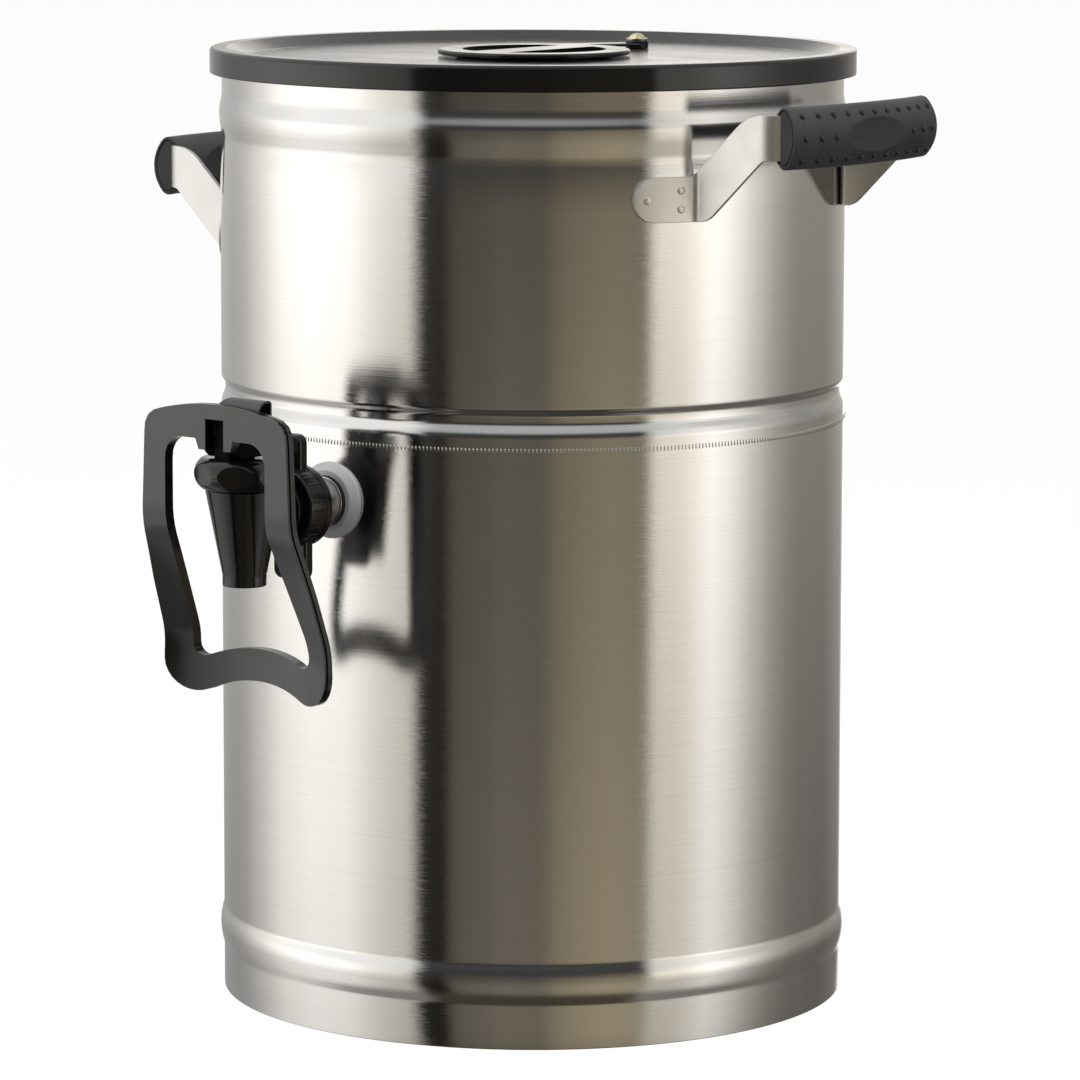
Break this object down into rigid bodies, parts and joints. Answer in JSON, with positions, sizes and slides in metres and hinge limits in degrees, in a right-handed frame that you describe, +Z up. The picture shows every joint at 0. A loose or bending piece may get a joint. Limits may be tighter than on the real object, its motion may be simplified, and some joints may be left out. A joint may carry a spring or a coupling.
{
  "type": "tea urn",
  "caption": "Cylindrical stainless tea urn on a raised skirt, with a lift-off lid, a swing cover, rubber-gripped side handles and a push-lever faucet.",
  "frame": {"origin": "centre of the foot ring, on the plane the urn stands on", "axes": "+Z up along the body's axis, -Y towards the faucet, +X and -X towards the handles"},
  "size_m": [0.3758, 0.3619, 0.4272],
  "materials": {
    "shell_steel": "satin",
    "strap_steel": "satin",
    "hardware_steel": "machined",
    "pivot_brass": "polished",
    "lid_plastic": "fine grain",
    "grip_rubber": "matte",
    "faucet_black": "gloss",
    "washer_white": "matte",
    "seat_rubber": "matte"
  },
  "bodies": {
    "urn": {"body_shell": "shell_steel", "tank_bottom": "shell_steel", "handle_strap_left": "strap_steel", "handle_strap_right": "strap_steel", "handle_grip_left": "grip_rubber", "handle_grip_right": "grip_rubber", "shank": "hardware_steel", "shank_outer_washer": "washer_white", "shank_inner_washer": "washer_white", "shank_lock_nut": "hardware_steel", "coupling_gasket": "washer_white", "faucet_body": "faucet_black", "bonnet": "faucet_black", "lever_pin": "hardware_steel"},
    "lid": {"lid": "lid_plastic", "cover_pivot_screw": "pivot_brass", "cover_pivot_washer": "hardware_steel", "cover_pivot_lower_washer": "hardware_steel", "cover_pivot_nut": "hardware_steel"},
    "cover": {"swing_cover": "lid_plastic"},
    "wing_nut": {"wing_nut": "faucet_black"},
    "lever": {"lever": "faucet_black"},
    "valve": {"stem": "hardware_steel", "seat_cup": "seat_rubber", "stem_spring": "hardware_steel"}
  },
  "joints": [
    {"name": "lid_lift", "type": "slide", "parent": "urn", "child": "lid", "axis": [0, 0, 1], "range_m": [0, 0.15]},
    {"name": "cover_swing", "type": "hinge", "parent": "lid", "child": "cover", "pos_m": [-0.002, 0.078, 0.4215], "axis": [0, 0, 1], "range_deg": [-60, 60]},
    {"name": "wing_nut_turn", "type": "hinge", "parent": "urn", "child": "wing_nut", "pos_m": [0, -0.1658, 0.2355], "axis": [0, 1, 0], "continuous": true},
    {"name": "lever_tilt", "type": "hinge", "parent": "urn", "child": "lever", "pos_m": [0, -0.2075, 0.274], "axis": [1, 0, 0], "range_deg": [0, 18], "stiffness_Nm_per_rad": 1.2, "springref_deg": -14.32},
    {"name": "stem_lift", "type": "slide", "parent": "urn", "child": "valve", "axis": [0, 0, 1], "range_m": [0, 0.0039], "deforming": ["stem_spring"]}
  ],
  "couplings": [
    {"joint": "stem_lift", "follows": "lever_tilt", "m_per_rad": 0.01205}
  ]
}
